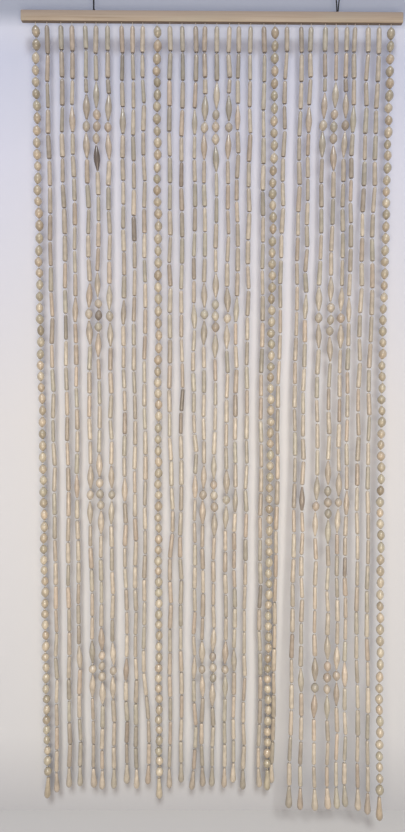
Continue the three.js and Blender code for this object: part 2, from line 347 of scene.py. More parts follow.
@dataclass(frozen=True)
class PlanedBatten:
    """Planed softwood board with a thin clear coat: warm tan, straight grain along its length.

    Painted shade makes it greyer and darker towards its top edge and darker on its underside.
    Sizes are in mm.
    """

    name: str = "planed_pine_board"
    pale: int = 0xC7B59E
    deep: int = 0xB09A80
    olive: int = 0xBAB29B
    line: int = 0x8F765F
    # Painted shade, greyer and darker towards the top edge
    painted_top_shade: int = 0xA29184
    # Painted shade on the underside
    painted_underside_shade: int = 0x82705E
    grain_pitch: float = 2.4
    grain_length: float = 160.0
    patch: float = 70.0
    patch_squeeze: float = 0.35
    # Where the painted shade towards the top edge starts, in mm
    top_shade_starts: float = -22.0
    # Where the painted shade on the underside starts and where it is full, in mm
    underside_shade_below: tuple[float, float] = (-23.8, -24.9)
    roughness: float = 0.6
    ior: float = 1.5

    def material(self) -> bpy.types.Material:
        """Builds the material on Object coordinates, with the grain along X.

        Returns:
            The board's material.
        """
        material, tree = new_material(self.name)
        coordinates = add_node(tree, "ShaderNodeTexCoord")
        along, wide = (
            add_node(
                tree, "ShaderNodeMapping",
                {"Vector": coordinates.outputs["Object"], "Scale": (squeeze, 1, 1)},
            )
            for squeeze in (self.grain_pitch / self.grain_length, self.patch_squeeze)
        )
        grain = add_node(
            tree, "ShaderNodeTexNoise",
            {"Vector": along.outputs["Vector"], "Scale": 1 / (self.grain_pitch * MM),
             "Detail": 5.0, "Roughness": 0.6, "Distortion": 0.3},
        )
        patches = add_node(
            tree, "ShaderNodeTexNoise",
            {"Vector": wide.outputs["Vector"], "Scale": 1 / (self.patch * MM), "Detail": 2.0},
        )
        axes = add_node(tree, "ShaderNodeSeparateXYZ", {"Vector": coordinates.outputs["Object"]})
        height = axes.outputs["Z"]
        underside_shade_from, underside_shade_to = self.underside_shade_below
        colour = lay_colours(tree, self.pale, (
            Layer(grain.outputs["Fac"], 0.35, 0.7, self.deep),
            Layer(patches.outputs["Fac"], 0.5, 0.75, self.olive, most=0.7),
            Layer(grain.outputs["Fac"], 0.64, 0.72, self.line, most=0.5),
            # Painted shade, greyer and darker towards the top edge
            Layer(height, self.top_shade_starts * MM, 0.0, self.painted_top_shade),
            # Painted shade on the underside
            Layer(height, underside_shade_from * MM, underside_shade_to * MM, self.painted_underside_shade),
        ))
        grooves = add_node(
            tree, "ShaderNodeBump",
            {"Height": grain.outputs["Fac"], "Strength": 0.3, "Distance": 0.2 * MM},
        )
        surface = add_node(
            tree, "ShaderNodeBsdfPrincipled",
            {"Base Color": colour, "Roughness": self.roughness,
             "Normal": grooves.outputs["Normal"], "IOR": self.ior},
        )
        add_node(tree, "ShaderNodeOutputMaterial", {"Surface": surface.outputs["BSDF"]})
        return material


@dataclass(frozen=True)
class TwistedYarn:
    """Twisted yarn or cord, matt and fibrous, in one colour with lighter fibre ends."""

    name: str
    colour: int
    fibre: int
    fibre_width: float = 0.35
    roughness: float = 0.85
    ior: float = 1.5

    def material(self) -> bpy.types.Material:
        """Builds the material on Object coordinates, in fibres stretched downwards.

        Returns:
            The yarn's material.
        """
        material, tree = new_material(self.name)
        coordinates = add_node(tree, "ShaderNodeTexCoord")
        along = add_node(
            tree, "ShaderNodeMapping",
            {"Vector": coordinates.outputs["Object"], "Scale": (1, 1, 0.3)},
        )
        fibres = add_node(
            tree, "ShaderNodeTexNoise",
            {"Vector": along.outputs["Vector"], "Scale": 1 / (self.fibre_width * MM),
             "Detail": 3.0},
        )
        colour = lay_colours(
            tree, self.colour, (Layer(fibres.outputs["Fac"], 0.45, 0.75, self.fibre, most=0.8),)
        )
        fuzz = add_node(
            tree, "ShaderNodeBump",
            {"Height": fibres.outputs["Fac"], "Strength": 0.5, "Distance": 0.15 * MM},
        )
        surface = add_node(
            tree, "ShaderNodeBsdfPrincipled",
            {"Base Color": colour, "Roughness": self.roughness,
             "Normal": fuzz.outputs["Normal"], "IOR": self.ior},
        )
        add_node(tree, "ShaderNodeOutputMaterial", {"Surface": surface.outputs["BSDF"]})
        return material


# Each wood's rim colour is end grain, with painted shade at the foot and in the bore
FILLER_WOOD = TurnedWood(
    name="turned_pale_cane",
    pale=0xD9CDBA,
    deep=0x70655E,
    grey=0xBBB7A6,
    rosy=0xCCB6A2,
    streak=0x968670,
    end_grain_and_shade=0x5E5146,
)
BORDER_WOOD = TurnedWood(
    name="turned_pale_hardwood",
    pale=0xD8CBB3,
    deep=0x84745C,
    grey=0xBCB69F,
    rosy=0xD0B9A0,
    streak=0x9C896E,
    end_grain_and_shade=0x54453A,
    roughness=0.34,
    coat=1.0,
)
BATTEN_BOARD = PlanedBatten()
COTTON_THREAD = TwistedYarn(name="cream_cotton_thread", colour=0xE2DACB, fibre=0xF2ECDF)
BLACK_CORD = TwistedYarn(name="black_twisted_cotton_cord", colour=0x0D0D15, fibre=0x22222D)


# Beads


class BeadKind(Enum):
    """The beads that the curtain is strung from. A head is the first tube of a string."""

    HEAD = "head"
    TUBE = "tube"
    SPINDLE = "spindle"
    SLENDER = "slender"
    OVAL = "oval"
    DROP = "drop"
    LONG_DROP = "long_drop"


HEAD, TUBE, SPINDLE, SLENDER, OVAL, DROP, LONG_DROP = BeadKind


@dataclass(frozen=True)
class TurnedBead:
    """A bead turned round its bore.

    Attributes:
        pitch: what the bead takes on the thread, in mm, with the gap under it.
        outline: how far down each ring of the outline lies, as a share, and its radius in mm.
        bore: radius of the drilled hole, in mm.
        sides: how many flats the turning is drawn with.
        spread: how much thicker or thinner than the outline a bead may be, as a share.
        flips: what share of the beads are strung upside down.
        top_grain_and_shade: how much end grain and painted shade show at the top rim, from 0 to 1.
        foot_grain_and_shade: the same at the foot.
        bore_grain_and_shade: the same in the bore.
        rim_depth: how far down or up a rim reaches, in mm.
    """

    pitch: float
    outline: tuple[tuple[float, float], ...]
    bore: float
    sides: int
    spread: float
    flips: float = 0.0
    # How much end grain and painted shade the rims show, most at the foot and in the bore
    top_grain_and_shade: float = 0.15
    foot_grain_and_shade: float = 0.8
    bore_grain_and_shade: float = 0.9
    rim_depth: float = 0.3

    def model(self, name: str, body_length: float) -> bpy.types.Object:
        """Turns the bead from a ring, from its top down the outside and back up the bore.

        Args:
            name: the pattern's name.
            body_length: the bead's length in mm.

        Returns:
            A closed bead whose top is at the origin and whose foot hangs below it.
        """
        deselect_all()
        bpy.ops.mesh.primitive_circle_add(vertices=self.sides, radius=self.bore * MM)
        bead = bpy.context.view_layer.objects.active
        bead.name = name
        bpy.ops.object.mode_set(mode="EDIT")
        bpy.ops.mesh.select_all(action="SELECT")
        depth, radius = 0.0, self.bore
        for share, next_radius in (*self.outline, (1.0, self.bore), (0.0, self.bore)):
            next_depth = share * body_length
            bpy.ops.mesh.extrude_region_move(
                TRANSFORM_OT_translate={"value": (0, 0, (depth - next_depth) * MM)}
            )
            growth = next_radius / radius
            bpy.ops.transform.resize(
                value=(growth, growth, 1), center_override=(0, 0, -next_depth * MM)
            )
            depth, radius = next_depth, next_radius
        close_skin(smooth_below=55)
        self.mark_rims(bead, body_length)
        return bead

    def mark_rims(self, bead: bpy.types.Object, body_length: float) -> None:
        """Writes each point's end grain and painted shade: most in the bore, less at the rims."""
        rim = bead.data.attributes.new("rim", "FLOAT", "POINT")
        for point, value in zip(bead.data.vertices, rim.data):
            if math.hypot(point.co.x, point.co.y) < self.bore * MM + BORE_MARGIN:
                value.value = self.bore_grain_and_shade
            elif point.co.z < (self.rim_depth - body_length) * MM:
                value.value = self.foot_grain_and_shade
            else:
                value.value = self.top_grain_and_shade if point.co.z > -self.rim_depth * MM else 0.0


# What a bead leaves free of its pitch, in mm, and how far out of round a bead may be, as a share
BEAD_GAP = 2.0
OUT_OF_ROUND = 0.04

BEADS = {
    HEAD: TurnedBead(
        60,
        ((0, 2.4), (0.02, 3.9), (0.06, 5.2), (0.12, 5.8), (0.5, 5.9), (0.92, 5.7), (0.97, 5.1),
         (1, 3.9)),
        bore=1.3, sides=12, spread=0.06,
    ),
    TUBE: TurnedBead(
        60,
        ((0, 3.1), (0.03, 4.3), (0.1, 4.9), (0.9, 5.5), (0.97, 5.0), (1, 3.7)),
        bore=1.3, sides=10, spread=0.13,
    ),
    SPINDLE: TurnedBead(
        62,
        ((0, 2.3), (0.1, 3.7), (0.25, 6.0), (0.4, 7.7), (0.5, 8.0), (0.62, 7.5), (0.78, 5.6),
         (0.92, 3.5), (1, 2.4)),
        bore=1.2, sides=16, spread=0.1, flips=0.5, top_grain_and_shade=0.4, foot_grain_and_shade=0.4,
    ),
    SLENDER: TurnedBead(
        62,
        ((0, 2.4), (0.12, 3.6), (0.3, 5.4), (0.45, 6.8), (0.57, 7.1), (0.7, 6.6), (0.85, 5.1),
         (0.97, 3.9), (1, 3.1)),
        bore=1.2, sides=16, spread=0.1,
    ),
    OVAL: TurnedBead(
        28,
        ((0, 2.3), (0.08, 4.4), (0.21, 7.4), (0.35, 9.0), (0.5, 9.4), (0.65, 9.0), (0.79, 7.3),
         (0.92, 4.6), (1, 2.5)),
        bore=1.2, sides=12, spread=0.08, flips=0.5, top_grain_and_shade=0.45, foot_grain_and_shade=0.45,
    ),
    DROP: TurnedBead(
        53,
        ((0, 2.6), (0.03, 3.8), (0.2, 4.7), (0.42, 5.9), (0.62, 7.3), (0.77, 8.1), (0.87, 7.5),
         (0.95, 5.2), (0.99, 2.6), (1, 1.3)),
        bore=1.0, sides=16, spread=0.08, foot_grain_and_shade=0.3,
    ),
    LONG_DROP: TurnedBead(
        58,
        ((0, 3.0), (0.03, 4.2), (0.2, 5.0), (0.42, 6.2), (0.62, 7.7), (0.77, 8.7), (0.87, 8.0),
         (0.95, 5.5), (0.99, 2.7), (1, 1.3)),
        bore=1.0, sides=16, spread=0.04, foot_grain_and_shade=0.3,
    ),
}


# Strings


class StringKind(Enum):
    """The five ways in which a string is filled."""

    BORDER = "border"
    PLAIN = "plain"
    OUTER = "outer"
    INNER = "inner"
    CENTRE = "centre"


BORDER, PLAIN, OUTER, INNER, CENTRE = StringKind


@dataclass(frozen=True)
class Filling:
    """What one kind of string carries.

    Attributes:
        filler: the bead that fills the stretches.
        diamond: the beads of one diamond row, from top to bottom.
        end: the bead at the foot.
        above: relative lengths of the fillers above the first diamond.
        between: the same between two diamonds.
        below: the same under the last diamond.
    """

    filler: BeadKind
    diamond: tuple[BeadKind, ...]
    end: BeadKind
    above: tuple[float, ...]
    between: tuple[float, ...]
    below: tuple[float, ...]


def even(count: int) -> tuple[float, ...]:
    """Returns equal shares for a number of fillers."""
    return (1.0,) * count


FILLINGS = {
    BORDER: Filling(OVAL, (), LONG_DROP, above=(), between=(), below=even(66)),
    PLAIN: Filling(TUBE, (), DROP, above=(), between=(), below=even(30)),
    OUTER: Filling(TUBE, (SLENDER,), DROP, above=even(3), between=even(7), below=even(4)),
    INNER: Filling(
        TUBE, (SPINDLE, OVAL, SPINDLE), DROP,
        above=(1.0, 1.0, 0.58), between=even(5), below=even(3),
    ),
    CENTRE: Filling(
        TUBE, (SPINDLE, OVAL, OVAL, OVAL, SPINDLE), DROP,
        above=even(2), between=even(4), below=even(3),
    ),
}


@dataclass(frozen=True)
class StringPlan:
    """How one string hangs, in mm.

    Attributes:
        kind: how it is filled.
        root: where it leaves the batten, from the middle.
        drift: how far the foot has moved sideways.
        forward: how far the foot has moved to the front.
        tip: how deep the lowest point hangs.
        rows: the depths of its diamonds' middles.
        bends: depths on the way down and how far aside the thread is there.
    """

    kind: StringKind
    root: float
    drift: float
    forward: float
    tip: float
    rows: tuple[float, ...] = ()
    bends: tuple[tuple[float, float], ...] = ()


STRINGS = (
    StringPlan(BORDER, -417, 0, 0, 1953),
    StringPlan(PLAIN, -390, -3, 0, 1937, bends=((1250, 2),)),
    StringPlan(PLAIN, -357, -3, 0, 1924, bends=((1250, 2),)),
    StringPlan(OUTER, -331, -1, 0, 1921, rows=(248, 697, 1134, 1574)),
    StringPlan(INNER, -300, 1, 0, 1925, rows=(264, 707, 1155, 1606), bends=((600, 4), (1000, 1))),
    StringPlan(CENTRE, -274, -1, 0, 1929, rows=(264, 710, 1153, 1599)),
    StringPlan(INNER, -247, 2, 0, 1927, rows=(265, 712, 1155, 1611)),
    StringPlan(OUTER, -214, 3, 0, 1914, rows=(250, 703, 1142, 1607)),
    StringPlan(PLAIN, -188, 1, 0, 1927),
    StringPlan(
        PLAIN, -164, 8, 0, 1915, bends=((600, 3), (1300, 0), (1640, -5), (1700, 5), (1800, 11))
    ),
    StringPlan(BORDER, -130, 2, 0, 1955),
    StringPlan(PLAIN, -100, -1, 0, 1926, bends=((1040, 0), (1205, 9), (1290, 1))),
    StringPlan(PLAIN, -71, 1, 0, 1910, bends=((865, 0), (905, 8), (965, -3))),
    StringPlan(
        OUTER, -39, -4, 0, 1930, rows=(252, 712, 1134, 1602),
        bends=((900, -3), (1040, 3), (1690, 0), (1785, 8), (1850, 3)),
    ),
    StringPlan(INNER, -17, 0, 0, 1921, rows=(265, 707, 1154, 1607)),
    StringPlan(CENTRE, 11, -1, 0, 1921, rows=(264, 711, 1157, 1602)),
    StringPlan(INNER, 41, -1, 0, 1924, rows=(264, 717, 1167, 1608)),
    StringPlan(OUTER, 63, 0, 0, 1911, rows=(241, 695, 1167, 1583)),
    StringPlan(PLAIN, 91, -1, 0, 1929),
    StringPlan(PLAIN, 122, 9, 0, 1924),
    StringPlan(BORDER, 148, 3, 0, 1932),
    StringPlan(PLAIN, 177, -11, -16, 1922, bends=((600, -7), (1150, -10))),
    StringPlan(PLAIN, 210, -12, 85, 1920, bends=((300, 2), (1300, -3))),
    StringPlan(OUTER, 234, -8, 85, 1924, rows=(245, 687, 1159, 1608)),
    StringPlan(INNER, 268, -8, 85, 1927, rows=(258, 714, 1179, 1628)),
    StringPlan(CENTRE, 293, 0, 85, 1923, rows=(261, 718, 1169, 1603)),
    StringPlan(INNER, 319, -3, 85, 1922, rows=(258, 714, 1169, 1599)),
    StringPlan(OUTER, 338, -2, 85, 1918, rows=(244, 695, 1169, 1595)),
    StringPlan(PLAIN, 369, -2, 85, 1926, bends=((1150, -4),)),
    StringPlan(PLAIN, 395, -3, 85, 1936, bends=((600, -3),)),
    StringPlan(BORDER, 423, 0, 85, 1950),
)


@dataclass(frozen=True)
class DarkBead:
    """A bead that is clearly darker than the rest: its string, a depth in it in mm, its tone."""

    string: int
    depth: float
    tone: float


DARK_BEADS = (
    DarkBead(6, 337, 1.0),
    DarkBead(6, 710, 0.75),
    DarkBead(9, 513, 0.7),
    DarkBead(13, 371, 0.6),
    DarkBead(13, 915, 0.75),
    DarkBead(13, 975, 0.6),
    DarkBead(20, 1430, 0.6),
    DarkBead(24, 1159, 0.65),
    DarkBead(28, 1340, 0.65),
    DarkBead(31, 1150, 0.7),
)


def unevenness(string: int, bead: int) -> float:
    """Gives a number from -1 to 1 that looks random and is the same for the same two numbers."""
    mixed = string * 37 + bead * 61 + 17
    return ((mixed * mixed) % 101) / 50 - 1


@dataclass(frozen=True)
class PlacedBead:
    """One bead on its string: its kind and the depths of its top and foot, in mm."""

    kind: BeadKind
    top: float
    bottom: float


@dataclass(frozen=True)
class BeadString:
    """One string of the curtain, counted from 1 at the left.

    Attributes:
        number: the string's number.
        first_bead: depth at which the first bead starts, in mm.
        share_spread: how uneven the fillers of a stretch are.
        sway: how far beads hang off the thread's line, sideways and forward, in mm.
        slack: the most that a bead is shorter at each end than its share of the thread, in mm.
        lean: depth where a string that comes forward starts to, how far down it takes to come
            all the way, and the power by which it does.
    """

    number: int
    first_bead: float = 33.0
    share_spread: float = 0.07
    sway: tuple[float, float] = (2.0, 1.0)
    slack: float = 2.2
    lean: tuple[float, float, float] = (700.0, 1250.0, 1.6)

    @property
    def plan(self) -> StringPlan:
        """The string's row in the table."""
        return STRINGS[self.number - 1]

    def fill(
        self, beads: list[PlacedBead], filler: BeadKind, shares: Sequence[float],
        top: float, bottom: float,
    ) -> None:
        """Fills a stretch of thread with beads of uneven lengths.

        Args:
            beads: the beads so far, which the new ones are added to.
            filler: the kind of bead.
            shares: their relative lengths.
            top: depth where the stretch starts, in mm.
            bottom: depth where it ends.
        """
        uneven = [
            share * (1 + self.share_spread * unevenness(self.number, len(beads) + i))
            for i, share in enumerate(shares)
        ]
        depth = top
        for share in uneven:
            length = share / sum(uneven) * (bottom - top)
            beads.append(PlacedBead(filler, depth, depth + length - BEAD_GAP))
            depth += length

    def beads(self) -> list[PlacedBead]:
        """Lists the string's beads from top to foot."""
        plan = self.plan
        filling = FILLINGS[plan.kind]
        diamond_length = sum(BEADS[kind].pitch for kind in filling.diamond)
        end_top = plan.tip - BEADS[filling.end].pitch
        beads: list[PlacedBead] = []
        depth = self.first_bead
        for middle in plan.rows:
            shares = filling.above if depth == self.first_bead else filling.between
            diamond_top = middle - diamond_length / 2
            self.fill(beads, filling.filler, shares, depth, diamond_top)
            depth = diamond_top
            for kind in filling.diamond:
                pitch = BEADS[kind].pitch
                beads.append(PlacedBead(kind, depth, depth + pitch - BEAD_GAP))
                depth += pitch
        self.fill(beads, filling.filler, filling.below, depth, end_top)
        beads.append(PlacedBead(filling.end, end_top, plan.tip))
        return beads

    def thread_at(self, depth: float) -> Vector:
        """Gives the thread's place at a depth, in mm, before the beads' own sway."""
        plan = self.plan
        stops = ((0.0, 0.0), *plan.bends, (plan.tip, plan.drift))
        after = max(1, next(i for i, stop in enumerate(stops) if stop[0] >= depth))
        (high, aside_high), (low, aside_low) = stops[after - 1], stops[after]
        aside = aside_high + (depth - high) / (low - high) * (aside_low - aside_high)
        start, reach, power = self.lean
        forward = plan.forward * max(0.0, (depth - start) / reach) ** power
        return Vector((plan.root + aside, -forward, -depth))

    def joint_at(self, depth: float, joint: int) -> Vector:
        """Gives where the string is at a depth close to one of its joints, in mm.

        Args:
            depth: the depth.
            joint: the joint's number: 0 above the first bead, where nothing sways.

        Returns:
            The point, in mm.
        """
        loose = 0 if joint == 0 else 1
        aside, forward = self.sway
        return self.thread_at(depth) + loose * Vector(
            (aside * unevenness(self.number, joint), forward * unevenness(joint, self.number), 0)
        )


@dataclass
class BeadBox:
    """The turned pattern of each bead, from which every bead on the strings is copied."""

    patterns: dict[BeadKind, bpy.types.Object] = field(default_factory=dict)

    def turn_patterns(self) -> None:
        """Turns one bead of each kind."""
        for kind, bead in BEADS.items():
            gap = 0.0 if kind in (DROP, LONG_DROP) else BEAD_GAP
            self.patterns[kind] = bead.model(f"pattern_{kind.value}", bead.pitch - gap)

    def copy(
        self, kind: BeadKind, top: Vector, foot: Vector, chance: random.Random, tone: float
    ) -> bpy.types.Object:
        """Puts a copy of a bead on its string, with its own mesh and its own piece of wood.

        Args:
            kind: the kind of bead.
            top: the middle of its top rim, in mm.
            foot: the middle of its foot, in mm.
            chance: the source of its small differences.
            tone: how dark it is, from 0, pale, to 1, deep.

        Returns:
            The bead.
        """
        bead = BEADS[kind]
        pattern = self.patterns[kind]
        mesh = pattern.data.copy()
        points = [point.co.copy() for point in mesh.vertices]
        offset = Vector([chance.uniform(-1, 1) for _ in range(3)])
        place = mesh.attributes.new("wood_place", "FLOAT_VECTOR", "POINT")
        place.data.foreach_set("vector", [value for co in points for value in co + offset])
        for name, value in (("tone", tone), ("hue", chance.random())):
            attribute = mesh.attributes.new(name, "FLOAT", "POINT")
            attribute.data.foreach_set("value", [value] * len(points))
        girth = 1 + bead.spread * chance.uniform(-1, 1)
        nominal = max(-point.z for point in points)
        axis = (foot - top) * MM
        stretch = axis.length / nominal
        depth = girth * (1 + OUT_OF_ROUND * chance.uniform(-1, 1))
        size = Matrix.Diagonal((girth, depth, stretch, 1))
        spin = Matrix.Rotation(chance.uniform(0, 2 * math.pi), 4, "Z")
        aim = Vector((0, 0, -1)).rotation_difference(axis.normalized()).to_matrix().to_4x4()
        flipped = chance.random() < bead.flips
        turn_over = Matrix.Translation((0, 0, -nominal)) @ Matrix.Rotation(math.pi, 4, "X")
        flip = turn_over if flipped else Matrix.Identity(4)
        mesh.transform(Matrix.Translation(top * MM) @ aim @ size @ spin @ flip)
        return add_object(f"bead_{kind.value}", mesh)

    def clear(self) -> None:
        """Removes the patterns."""
        for pattern in self.patterns.values():
            bpy.data.objects.remove(pattern)
        self.patterns.clear()


@dataclass
class StringGroup:
    """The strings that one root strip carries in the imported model.

    Attributes:
        node: the solid that the group stands for.
        first: number of its first string.
        last: number of its last string.
        thread_radius: radius of the cotton thread, in mm.
        thread_top: depth at which the thread starts, inside the batten.
        thread_end: how far above the end bead's foot the thread stops, in mm.
        tones: mean and spread of how dark the beads are, from 0 to 1.
    """

    node: str
    first: int
    last: int
    thread_radius: float = 0.8
    thread_top: float = 16.0
    thread_end: float = 10.0
    tones: tuple[float, float] = (0.18, 0.13)

    def string_beads(self, box: BeadBox) -> bpy.types.Object:
        """Copies every bead of the group into place and joins them.

        Args:
            box: the turned patterns.

        Returns:
            The group's beads as one piece.
        """
        copies = []
        for number in range(self.first, self.last + 1):
            string = BeadString(number)
            chance = random.Random(number)
            beads = string.beads()
            for joint, bead in enumerate(beads):
                tone = min(1.0, max(0.0, chance.gauss(*self.tones)))
                for dark in DARK_BEADS:
                    if dark.string == number and bead.top < dark.depth < bead.bottom:
                        tone = dark.tone
                slack_top = string.slack * chance.random() if joint else 0.0
                slack_foot = string.slack * chance.random() if bead is not beads[-1] else 0.0
                top = string.joint_at(bead.top + slack_top, joint)
                foot = string.joint_at(bead.bottom - slack_foot, joint + 1)
                kind = HEAD if joint == 0 and bead.kind is TUBE else bead.kind
                copies.append(box.copy(kind, top, foot, chance, tone))
        return join(copies, f"{self.node}_beads")

    def run_thread(self, number: int) -> bpy.types.Object:
        """Draws one string's thread out through all its beads.

        Args:
            number: the string's number.

        Returns:
            The thread, from inside the batten to inside the end bead.
        """
        string = BeadString(number)
        beads = string.beads()
        route = [string.joint_at(self.thread_top, 0), string.joint_at(string.first_bead, 0)]
        for joint, bead in enumerate(beads[:-1], start=1):
            route.append(string.joint_at(bead.bottom + BEAD_GAP / 2, joint))
        route.append(string.joint_at(beads[-1].bottom - self.thread_end, len(beads)))
        deselect_all()
        bpy.ops.mesh.primitive_circle_add(
            vertices=6, radius=self.thread_radius * MM, fill_type="NGON", location=route[0] * MM
        )
        thread = bpy.context.view_layer.objects.active
        bpy.ops.object.transform_apply(location=True, rotation=False, scale=False)
        bpy.ops.object.mode_set(mode="EDIT")
        bpy.ops.mesh.select_all(action="SELECT")
        for here, following in zip(route, route[1:]):
            bpy.ops.mesh.extrude_region_move(
                TRANSFORM_OT_translate={"value": (following - here) * MM}
            )
        close_skin(smooth_below=60)
        return thread

    def build(
        self, box: BeadBox, wood: bpy.types.Material, yarn: bpy.types.Material
    ) -> list[bpy.types.Object]:
        """Builds the group's beads and threads and puts them in place of its solid.

        Args:
            box: the turned patterns.
            wood: the beads' finish.
            yarn: the threads' finish.

        Returns:
            The two pieces.
        """
        beads = self.string_beads(box)
        dress(beads, wood)
        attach(beads, BODY)
        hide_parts(self.node)
        threads = join(
            [self.run_thread(number) for number in range(self.first, self.last + 1)],
            f"{self.node}_threads",
        )
        dress(threads, yarn)
        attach(threads, BODY)
        return [beads, threads]


GROUPS = (
    StringGroup("border_string_1", 1, 1),
    StringGroup("strings_left", 2, 10),
    StringGroup("border_string_2", 11, 11),
    StringGroup("strings_middle", 12, 20),
    StringGroup("border_string_3", 21, 21),
    StringGroup("lone_string", 22, 22),
    StringGroup("strings_right", 23, 30),
    StringGroup("border_string_4", 31, 31),
)


# Batten


@dataclass
class Batten:
    """The board that the strings hang from, in mm.

    Attributes:
        length: along X.
        height: along Z, down from the origin.
        thickness: along Y.
        corner: radius of the four corners seen from the front.
        edge: how far the long edges are eased.
        hole_radius: radius of the hole that each thread comes out of.
        hole_depth: how deep these holes go up into the board.
    """

    length: float = 900.0
    height: float = 25.0
    thickness: float = 12.0
    corner: float = 3.0
    edge: float = 1.5
    hole_radius: float = 1.3
    hole_depth: float = 12.0

    def saw_board(self) -> bpy.types.Object:
        """Cuts the board and eases its corners and edges."""
        deselect_all()
        centre = Vector((0, 0, -self.height / 2)) * MM
        bpy.ops.mesh.primitive_cube_add(size=MM, location=centre)
        board = bpy.context.view_layer.objects.active
        board.name = "batten_board"
        bpy.ops.object.transform_apply(location=True, rotation=False, scale=False)
        bpy.ops.object.mode_set(mode="EDIT")
        bpy.ops.mesh.select_all(action="SELECT")
        bpy.ops.transform.resize(
            value=(self.length, self.thickness, self.height), center_override=centre
        )
        half = self.thickness / 2 * MM
        select_edges(board, lambda a, b: abs(a.y - b.y) > half)
        bpy.ops.mesh.bevel(offset=self.corner * MM, segments=4, affect="EDGES")
        select_edges(board, lambda a, b: abs(a.y - b.y) < WELD)
        bpy.ops.mesh.bevel(offset=self.edge * MM, segments=3, affect="EDGES")
        bpy.ops.object.mode_set(mode="OBJECT")
        return board

    def drill(self, board: bpy.types.Object, roots: Sequence[float]) -> None:
        """Drills a hole up into the board for each thread.

        Args:
            board: the board.
            roots: where the threads leave it, in mm from the middle.
        """
        bits = []
        for root in roots:
            deselect_all()
            bpy.ops.mesh.primitive_cylinder_add(
                vertices=12,
                radius=self.hole_radius * MM,
                depth=2 * self.hole_depth * MM,
                location=Vector((root, 0, -self.height)) * MM,
            )
            bpy.ops.object.transform_apply(location=True, rotation=False, scale=False)
            bits.append(bpy.context.view_layer.objects.active)
        drill = join(bits, "drill")
        cut = board.modifiers.new("holes", "BOOLEAN")
        cut.operation = "DIFFERENCE"
        cut.solver = "EXACT"
        cut.object = drill
        apply_modifiers(board)
        bpy.data.objects.remove(drill)

    def build(self, wood: bpy.types.Material) -> bpy.types.Object:
        """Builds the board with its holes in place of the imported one.

        Args:
            wood: the board's finish.

        Returns:
            The piece.
        """
        board = self.saw_board()
        self.drill(board, [plan.root for plan in STRINGS])
        pick(board)
        bpy.ops.object.shade_smooth_by_angle(angle=math.radians(40))
        flat = board.modifiers.new("flat_faces", "WEIGHTED_NORMAL")
        flat.keep_sharp = True
        apply_modifiers(board)
        dress(board, wood)
        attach(board, BODY)
        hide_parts("batten")
        return board


# Hanging loops


